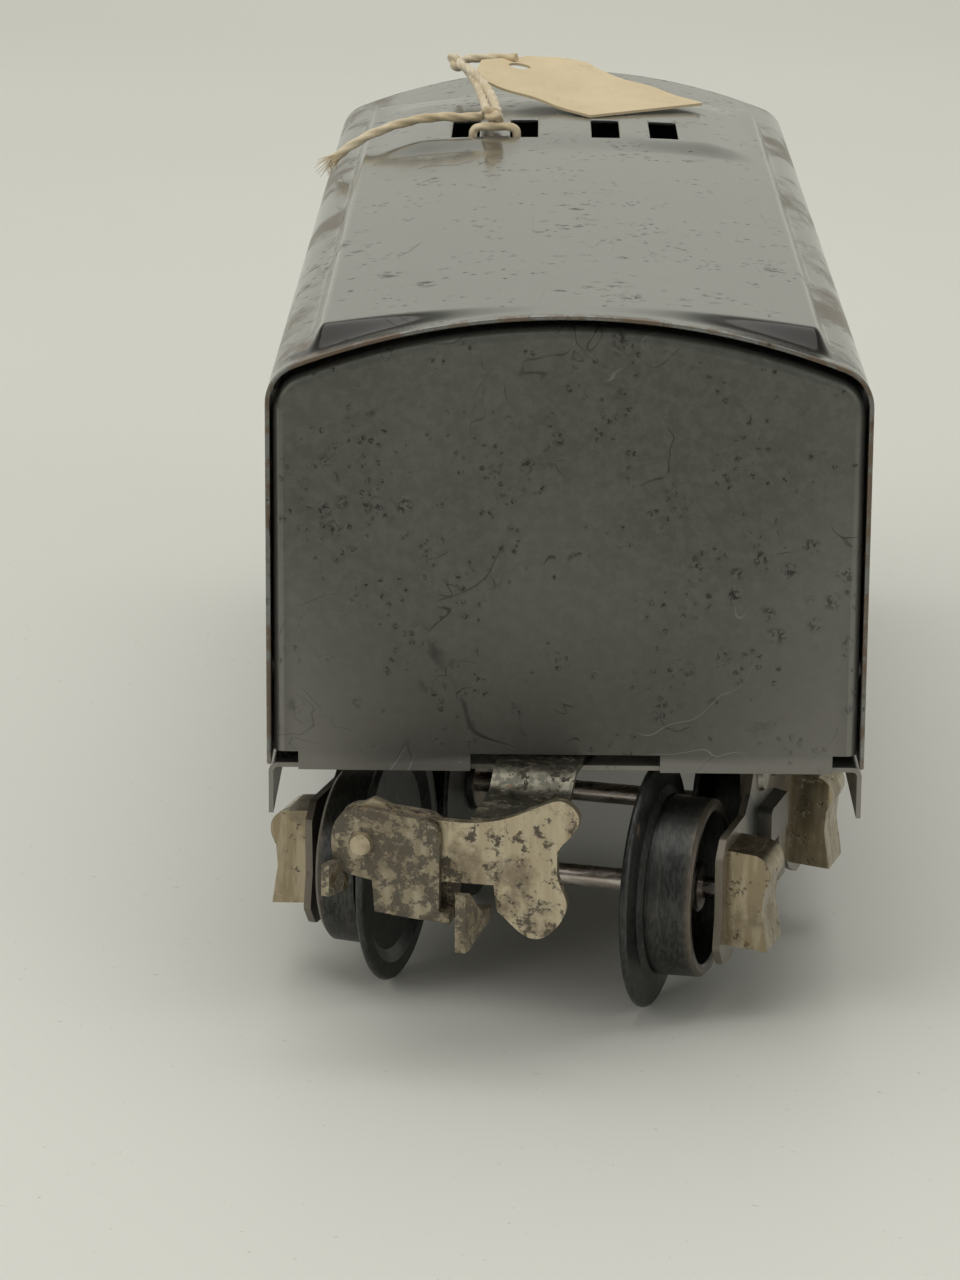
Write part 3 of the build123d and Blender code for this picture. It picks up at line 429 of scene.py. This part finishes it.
def section_points(half_width, ridge, arch, corner, foot, roof_xs, rise, corner_steps=9):
    """The cross-section from the left foot over the roof to the right foot."""
    centre = ridge - arch
    corner_x = half_width - corner
    corner_z = centre + math.sqrt((arch - corner) ** 2 - corner_x**2)
    lean = math.atan2(corner_z - centre, corner_x)
    right = [(half_width, foot + (corner_z - foot) * n / 10) for n in range(10)]
    right += [
        (
            corner_x + corner * math.cos(lean * n / corner_steps),
            corner_z + corner * math.sin(lean * n / corner_steps),
        )
        for n in range(corner_steps + 1)
    ]
    edge = arch * math.cos(lean)
    roof = [
        (x, centre + math.sqrt(arch**2 - x**2) + rise(x)) for x in roof_xs if abs(x) < edge - 0.15
    ]
    left = [(-x, z) for x, z in right]
    return left + sorted(roof) + right[::-1]


# ---- Shell: one pressing with a raised panel, a crowned hood, slots and rolled rims -----------------
def panel_rise(x, y):
    """How far the roof is pressed up from its plain arch at a point, in millimetres."""
    arch = RIDGE - ARCH + math.sqrt(ARCH**2 - x * x)
    panel = RIDGE - x * x / (2 * PANEL_RADIUS) - arch
    across = 1 - smooth(PANEL_HALF - 0.5, PANEL_HALF + 1.5, abs(x))
    from_rear, from_front = y + HALF_LENGTH, HALF_LENGTH - y
    # the rear step is upright at the panel's corners and fades out towards the middle
    along = smooth(PANEL_REAR - 2.2, PANEL_REAR + 1.3, from_rear)
    along *= smooth(PANEL_FRONT - 2.0, PANEL_FRONT + 3.0, from_front)
    lift = panel * across * along
    # the hood is flatter still, and ends in two swells that face the rear
    hood = HOOD_RISE + x * x / 2 * (1 / PANEL_RADIUS - 1 / HOOD_RADIUS)
    side = 1 - smooth(HOOD_HALF - 4.5, PANEL_HALF - 1.0, abs(x))
    turn = 5.5 + 7.0 * (1 - smooth(4.0, 13.0, abs(x)))
    past = smooth(HOOD_START - turn / 3, HOOD_START + turn, y)
    past *= 1 - smooth(HOOD_END - 6.0, HOOD_END + 4.0, y)
    return lift + hood * side * past * across


def frange(low, high, step):
    count = max(1, round((high - low) / step))
    return [low + (high - low) * n / count for n in range(count + 1)]


def merged(values):
    kept = []
    for value in sorted(values):
        if not kept or value - kept[-1] > 0.05:
            kept.append(value)
    return kept


slot_edges_x = [x + s * SLOT_HALF_WIDTH for x in SLOT_XS for s in (-1, 1)]
roof_xs = merged(
    frange(-28.6, 28.6, 0.8)
    + frange(PANEL_HALF - 0.9, PANEL_HALF + 1.9, 0.25)
    + frange(-PANEL_HALF - 1.9, -PANEL_HALF + 0.9, 0.25)
)
roof_xs = merged(
    [x for x in roof_xs if all(abs(x - e) > 0.32 for e in slot_edges_x)] + slot_edges_x
)
shell_ys = merged(
    frange(-HALF_LENGTH, HALF_LENGTH, 2.0)
    + frange(-HALF_LENGTH, -HALF_LENGTH + 8, 0.4)
    + frange(HALF_LENGTH - 8, HALF_LENGTH, 0.4)
    + frange(HOOD_START - 2, HOOD_START + 7, 0.5)
)
slot_edges_y = [SLOT_Y - SLOT_HALF_LENGTH, SLOT_Y + SLOT_HALF_LENGTH]
shell_ys = merged(
    [y for y in shell_ys if all(abs(y - e) > 0.5 for e in slot_edges_y)] + slot_edges_y
)


def build_shell():
    rows = []
    for y in shell_ys:
        outer = section_points(
            HALF_WIDTH, RIDGE, ARCH, SHOULDER, DECK_TOP, roof_xs, lambda x: panel_rise(x, y)
        )
        rows.append(outer)
    count = len(rows[0])
    vertices, faces, index = [], [], {}
    roof_foot = RIDGE - 22

    def inward(row, j):
        """The inner surface point behind an outer one, one sheet thickness in."""
        x, z = rows[row][j]
        before = rows[row][max(0, j - 1)]
        after = rows[row][min(count - 1, j + 1)]
        dx, dz = after[0] - before[0], after[1] - before[1]
        size = math.hypot(dx, dz) or 1.0
        return x + dz / size * SHEET, z - dx / size * SHEET

    def vertex(kind, i, j):
        key = (kind, i, j)
        if key not in index:
            x, z = rows[i][j] if kind == "outer" else inward(i, j)
            index[key] = len(vertices)
            vertices.append((x, shell_ys[i], z))
        return index[key]

    def in_slot(i, j):
        y = (shell_ys[i] + shell_ys[i + 1]) / 2
        x = (rows[i][j][0] + rows[i][j + 1][0]) / 2
        if rows[i][j][1] < roof_foot or abs(y - SLOT_Y) > SLOT_HALF_LENGTH:
            return False
        return any(abs(x - s) < SLOT_HALF_WIDTH for s in SLOT_XS)

    solid = {
        (i, j)
        for i in range(len(shell_ys) - 1)
        for j in range(count - 1)
        if not in_slot(i, j)
    }
    for i, j in sorted(solid):
        a, b = vertex("outer", i, j), vertex("outer", i, j + 1)
        c, d = vertex("outer", i + 1, j + 1), vertex("outer", i + 1, j)
        faces.append((a, b, c, d))
        e, f = vertex("inner", i, j), vertex("inner", i, j + 1)
        g, h = vertex("inner", i + 1, j + 1), vertex("inner", i + 1, j)
        faces.append((h, g, f, e))
        for other, (p, q, s, t) in {
            (i - 1, j): (a, e, f, b),
            (i + 1, j): (c, g, h, d),
            (i, j - 1): (d, h, e, a),
            (i, j + 1): (b, f, g, c),
        }.items():
            if other not in solid:
                faces.append((p, q, s, t))
    piece = new_piece("shell_pressing", vertices, faces, finishes["shell_lacquer"])
    edge = piece.modifiers.new("rolled_edge", "BEVEL")
    edge.width = 0.16 * MM
    edge.segments = 2
    edge.limit_method = "ANGLE"
    edge.angle_limit = math.radians(50)
    return piece


shell = build_shell()
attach(shell, "car")
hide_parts("body_shell")

# ---- Tag, tied on with string ------------------------------------------------------------------------
STRING_RADIUS = 0.65
STRING_TURN = 3.4
ROUTES = {
    "tag_string_first": [
        (-0.0086, 0.0318, 0.0786),
        (-0.0089, 0.0380, 0.0791),
        (-0.0098, 0.0470, 0.0799),
        (-0.0113, 0.0560, 0.0805),
        (-0.0131, 0.0646, 0.0808),
        (-0.0147, 0.0708, 0.0807),
        (-0.0136, 0.0746, 0.0808),
        (-0.0102, 0.0754, 0.0809),
        (-0.0066, 0.0732, 0.0812),
    ],
    "tag_string_second": [
        (-0.0136, 0.0694, 0.0803),
        (-0.0123, 0.0610, 0.0800),
        (-0.0114, 0.0520, 0.0796),
        (-0.0106, 0.0434, 0.0790),
        (-0.0101, 0.0358, 0.0787),
        (-0.0119, 0.0319, 0.0788),
        (-0.0166, 0.0325, 0.0789),
        (-0.0204, 0.0321, 0.0783),
        (-0.0240, 0.0315, 0.0772),
        (-0.0276, 0.0318, 0.0754),
        (-0.0304, 0.0330, 0.0730),
    ],
}


def spline_points(name, route):
    """The points, in metres, of the smooth curve that has these control points."""
    data = bpy.data.curves.new(name, "CURVE")
    data.dimensions = "3D"
    spline = data.splines.new("NURBS")
    spline.points.add(len(route) - 1)
    for point, place in zip(spline.points, route):
        point.co = (*place, 1)
    spline.order_u = 3
    spline.use_endpoint_u = True
    spline.resolution_u = 24
    holder = bpy.data.objects.new(name, data)
    bpy.context.scene.collection.objects.link(holder)
    bpy.context.view_layer.update()
    mesh = bpy.data.meshes.new_from_object(holder)
    points = [vertex.co.copy() for vertex in mesh.vertices]
    bpy.data.objects.remove(holder)
    return points


def twisted_string(name, points, closed=False, radius=STRING_RADIUS):
    """Three plies laid round each other: a lobed section that turns as it follows the points."""
    around = 18
    count = len(points)
    side, travelled = Vector((0.1, 0.2, 1)), 0.0
    vertices, faces = [], []
    for i, point in enumerate(points):
        if closed:
            ahead = (points[(i + 1) % count] - points[i - 1]).normalized()
        else:
            ahead = (points[min(i + 1, count - 1)] - points[max(i - 1, 0)]).normalized()
        if i:
            travelled += (point - points[i - 1]).length / MM
        side = (side - ahead * side.dot(ahead)).normalized()
        over = ahead.cross(side)
        twist = 2 * math.pi * travelled / (3 * STRING_TURN)
        slack = 1 + 0.05 * math.sin(travelled * 1.9) + 0.04 * math.sin(travelled * 4.3)
        for k in range(around):
            angle = 2 * math.pi * k / around
            lobe = 0.72 + 0.28 * abs(math.cos(1.5 * (angle - twist)))
            reach = radius * lobe * min(1.0, slack)
            place = point / MM + (side * math.cos(angle) + over * math.sin(angle)) * reach
            vertices.append(tuple(place))
    for i in range(count if closed else count - 1):
        for k in range(around):
            a, b = i * around + k, i * around + (k + 1) % around
            c, d = (i + 1) % count * around, (i + 1) % count * around
            faces.append((a, b, c + (k + 1) % around, d + k))
    if not closed:
        faces.append(tuple(reversed(range(around))))
        faces.append(tuple((count - 1) * around + k for k in range(around)))
    return new_piece(name, vertices, faces, finishes["cotton_string"], 60)


def build_loop(low, high):
    """One tight turn of string round the bridge between two slots, inside this box."""
    middle = (low + high) / 2
    half = (high - low) / 2 - Vector((STRING_RADIUS, 0, STRING_RADIUS)) * MM
    points = []
    for n in range(72):
        angle = 2 * math.pi * n / 72
        across, rise = math.cos(angle), math.sin(angle)
        points.append(
            middle
            + Vector(
                (
                    half.x * math.copysign(abs(across) ** 0.55, across),
                    0.35 * MM * math.sin(angle + 0.6),
                    half.z * math.copysign(abs(rise) ** 0.55, rise),
                )
            )
        )
    return twisted_string("string_loop", points, closed=True, radius=0.6)


def build_knot(name, centre, tilt):
    """An overhand knot pulled tight: a short string that follows a trefoil."""
    points = []
    turn = Matrix.Rotation(tilt, 3, Vector((0.4, 1.0, 0.6)).normalized())
    for n in range(90):
        t = 2 * math.pi * n / 90
        coil = Vector(
            (math.sin(t) + 2 * math.sin(2 * t), math.cos(t) - 2 * math.cos(2 * t), -math.sin(3 * t))
        )
        points.append(centre + turn @ (coil * 0.34 * MM))
    return twisted_string(name, points, closed=True, radius=0.6)


def build_fray(points):
    """Loose fibres that fan out where the string was cut."""
    tip, ahead = points[-1] / MM, (points[-1] - points[-6]).normalized()
    vertices, faces = [], []
    for n in range(26):
        spread = Vector([random.uniform(-0.75, 0.75) for _ in range(3)])
        fibre = (ahead + spread * 0.75).normalized()
        reach = random.uniform(1.6, 3.6)
        start = tip - ahead * 1.2 + spread * 0.35
        side = fibre.cross(Vector((0.3, 0.2, 1))).normalized()
        over = fibre.cross(side)
        base = len(vertices)
        for step in range(6):
            share = step / 5
            droop = Vector((0, 0, -0.5 * share * share)) + side * 0.35 * math.sin(3 * share + n)
            place = start + fibre * reach * share + droop
            width = 0.10 * (1 - 0.7 * share)
            for k in range(4):
                angle = math.pi * k / 2
                vertices.append(
                    tuple(place + (side * math.cos(angle) + over * math.sin(angle)) * width)
                )
        for step in range(5):
            for k in range(4):
                a, b = base + 4 * step + k, base + 4 * step + (k + 1) % 4
                faces.append((a, b, b + 4, a + 4))
    return new_piece("string_fray", vertices, faces, finishes["cotton_string"], 60)


TAG_LENGTH, TAG_WIDTH, TAG_THICKNESS, TAG_CORNER = 31.0, 20.0, 0.35, 6.0
TAG_FOOT = Vector((11.2, 49.7, 77.25))
TAG_TURN = math.radians(129)
TAG_RISE = 3.4
TAG_CURL = 0.72
TAG_HOLE, TAG_HOLE_RADIUS = 27.5, 1.5


def build_tag():
    """A card tag, cut across two corners, that has curled up towards its eyelet."""
    along = Vector((math.cos(TAG_TURN), math.sin(TAG_TURN), 0))
    across = Vector((-math.sin(TAG_TURN), math.cos(TAG_TURN), 0))
    half = TAG_WIDTH / 2
    outline = [
        (0.3, -half),
        (TAG_LENGTH - TAG_CORNER, -half),
        (TAG_LENGTH, TAG_CORNER - half),
        (TAG_LENGTH, half - TAG_CORNER),
        (TAG_LENGTH - TAG_CORNER, half),
        (0.3, half),
        (0.0, half - 0.3),
        (0.0, 0.3 - half),
    ]
    rim = []
    for (u0, w0), (u1, w1) in zip(outline, outline[1:] + outline[:1]):
        steps = max(1, round(math.hypot(u1 - u0, w1 - w0) / 0.7))
        rim += [(u0 + (u1 - u0) * n / steps, w0 + (w1 - w0) * n / steps) for n in range(steps)]
    rings, turns = 26, len(rim)

    def lifted(u, w):
        """Where a point of the flat card has gone once it curled."""
        share = u / TAG_LENGTH
        rise = TAG_RISE * (0.52 * share + 0.48 * share * share)
        rise += TAG_CURL * smooth(0.72, 1.0, share) * smooth(-2, -8, w)
        rise += 0.16 * math.sin(0.42 * u + 0.3 * w) * smooth(0.05, 0.3, share)
        rise += 0.10 * smooth(0.3, 0.0, abs(u - 17 - 0.4 * w)) * smooth(0, 4, w)
        return TAG_FOOT + along * u + across * w + Vector((0, 0, max(0.0, rise)))

    vertices, faces = [], []
    for layer in range(2):
        for ring in range(rings + 1):
            share = ring / rings
            for u, w in rim:
                size = math.hypot(u - TAG_HOLE, w)
                hole = (TAG_HOLE + (u - TAG_HOLE) / size * TAG_HOLE_RADIUS, w / size * TAG_HOLE_RADIUS)
                place = lifted(hole[0] + (u - hole[0]) * share, hole[1] + (w - hole[1]) * share)
                vertices.append(tuple(place + Vector((0, 0, TAG_THICKNESS * layer))))
    skip = (rings + 1) * turns
    for ring in range(rings):
        for k in range(turns):
            a, b = ring * turns + k, ring * turns + (k + 1) % turns
            faces.append((a, b, b + turns, a + turns))
            faces.append((a + turns + skip, b + turns + skip, b + skip, a + skip))
    for k in range(turns):
        b = (k + 1) % turns
        faces.append((k + skip, b + skip, b, k))
        outer = rings * turns
        faces.append((outer + k, outer + b, outer + b + skip, outer + k + skip))
    return new_piece("tag", vertices, faces, finishes["manila_card"], 40)


def settle(piece, node):
    """The piece goes with the car, and stands for this CAD node."""
    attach(piece, "car")
    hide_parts(node)
    return piece


tag = settle(build_tag(), "tag_card")
lines = {name: spline_points(name + "_line", route) for name, route in ROUTES.items()}
first = settle(
    twisted_string("string_to_tag", lines["tag_string_first"]), "tag_string_first"
)
second = settle(
    twisted_string("string_back", lines["tag_string_second"]), "tag_string_second"
)
loop = settle(build_loop(*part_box("tag_string_loop")), "tag_string_loop")
knot_low, knot_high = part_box("tag_string_lower_knot")
lower_knot = settle(
    build_knot("lower_knot", (knot_low + knot_high) / 2 + Vector((0, 0, 0.2 * MM)), 0.5),
    "tag_string_lower_knot",
)
knot_low, knot_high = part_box("tag_string_upper_knot")
upper_knot = settle(
    build_knot("upper_knot", (knot_low + knot_high) / 2, 1.1),
    "tag_string_upper_knot",
)
fray = build_fray(lines["tag_string_second"])
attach(fray, "car")


# ---- Floor and light ------------------------------------------------------------------------------------
def build_floor():
    """A pale sweep: flat under the car, then curving up behind it."""
    near, far, top, half_width = -1.6, 0.75, 2.2, 1.8
    radius, steps = 0.55, 16
    profile = [(near, 0.0), (far, 0.0)]
    for n in range(1, steps + 1):
        turn = math.radians(90 * n / steps)
        profile.append((far + radius * math.sin(turn), radius * (1 - math.cos(turn))))
    profile.append((far + radius, top))
    vertices, faces = [], []
    for x in (-half_width, half_width):
        vertices += [(x, y, z) for y, z in profile]
    count = len(profile)
    for n in range(count - 1):
        faces.append((n, n + 1, count + n + 1, count + n))
    mesh = bpy.data.meshes.new("floor")
    mesh.from_pydata(vertices, [], [tuple(reversed(f)) for f in faces])
    mesh.update()
    for polygon in mesh.polygons:
        polygon.use_smooth = True
    floor = bpy.data.objects.new("floor", mesh)
    bpy.context.scene.collection.objects.link(floor)
    return floor


floor = build_floor()
r = Recipe("backdrop_card")
tone = r.noise(2.2, 3, 0.5)
base = r.mix(r.ramp(tone, 0.3, 0.7), (0.735, 0.735, 0.680), (0.775, 0.775, 0.718))
base = r.mix(r.ramp(r.noise(900, 2, 0.6), 0.70, 0.76), base, (0.60, 0.59, 0.54))
r.bump(r.noise(600, 3, 0.5), 0.00003, 0.4)
floor.data.materials.append(r.finish(base, 0.55, 0.0))


def area_light(name, place, aim, size, power, colour=(1, 1, 1)):
    data = bpy.data.lights.new(name, "AREA")
    data.shape = "RECTANGLE"
    data.size, data.size_y = size
    data.energy = power
    data.color = colour
    lamp = bpy.data.objects.new(name, data)
    bpy.context.scene.collection.objects.link(lamp)
    lamp.location = place
    lamp.rotation_mode = "QUATERNION"
    lamp.rotation_quaternion = (Vector(aim) - Vector(place)).to_track_quat("-Z", "Y")


area_light("overhead_softbox", (-0.1, 0.15, 1.25), (0, 0, 0.03), (1.5, 1.5), 9.8, (1.0, 0.99, 0.965))
area_light("left_fill", (-1.1, -0.7, 0.75), (0, 0, 0.04), (0.9, 0.9), 3.2, (1.0, 0.98, 0.95))
area_light("right_fill", (1.0, -0.9, 0.7), (0, -0.05, 0.03), (0.7, 0.7), 1.8, (1.0, 0.99, 0.97))

world = bpy.data.worlds.new("studio")
world.use_nodes = True
world.node_tree.nodes["Background"].inputs["Color"].default_value = (0.80, 0.80, 0.76, 1)
world.node_tree.nodes["Background"].inputs["Strength"].default_value = 0.42
bpy.context.scene.world = world
bpy.context.scene.view_settings.view_transform = "Standard"
bpy.context.scene.view_settings.look = "None"

# ---- Camera ------------------------------------------------------------------------------------------------
CAMERA_PLACE = (-0.00369, -0.5529, 0.16446)
yaw, pitch, roll = math.radians(-0.68), math.radians(14.95), math.radians(0.38)
forward = Vector((math.sin(yaw) * math.cos(pitch), math.cos(yaw) * math.cos(pitch), -math.sin(pitch)))
right = Vector((math.cos(yaw), -math.sin(yaw), 0))
up = right.cross(forward)
turned_right = right * math.cos(roll) + up * math.sin(roll)
turned_up = up * math.cos(roll) - right * math.sin(roll)
camera_data = bpy.data.cameras.new("camera")
camera_data.sensor_width = 36
camera_data.lens = 126.56
camera_data.clip_start = 0.01
camera_data.clip_end = 20
camera = bpy.data.objects.new("camera", camera_data)
bpy.context.scene.collection.objects.link(camera)
camera.matrix_world = Matrix.Translation(CAMERA_PLACE) @ Matrix(
    (
        (turned_right.x, turned_up.x, -forward.x),
        (turned_right.y, turned_up.y, -forward.y),
        (turned_right.z, turned_up.z, -forward.z),
    )
).to_4x4()
bpy.context.scene.camera = camera
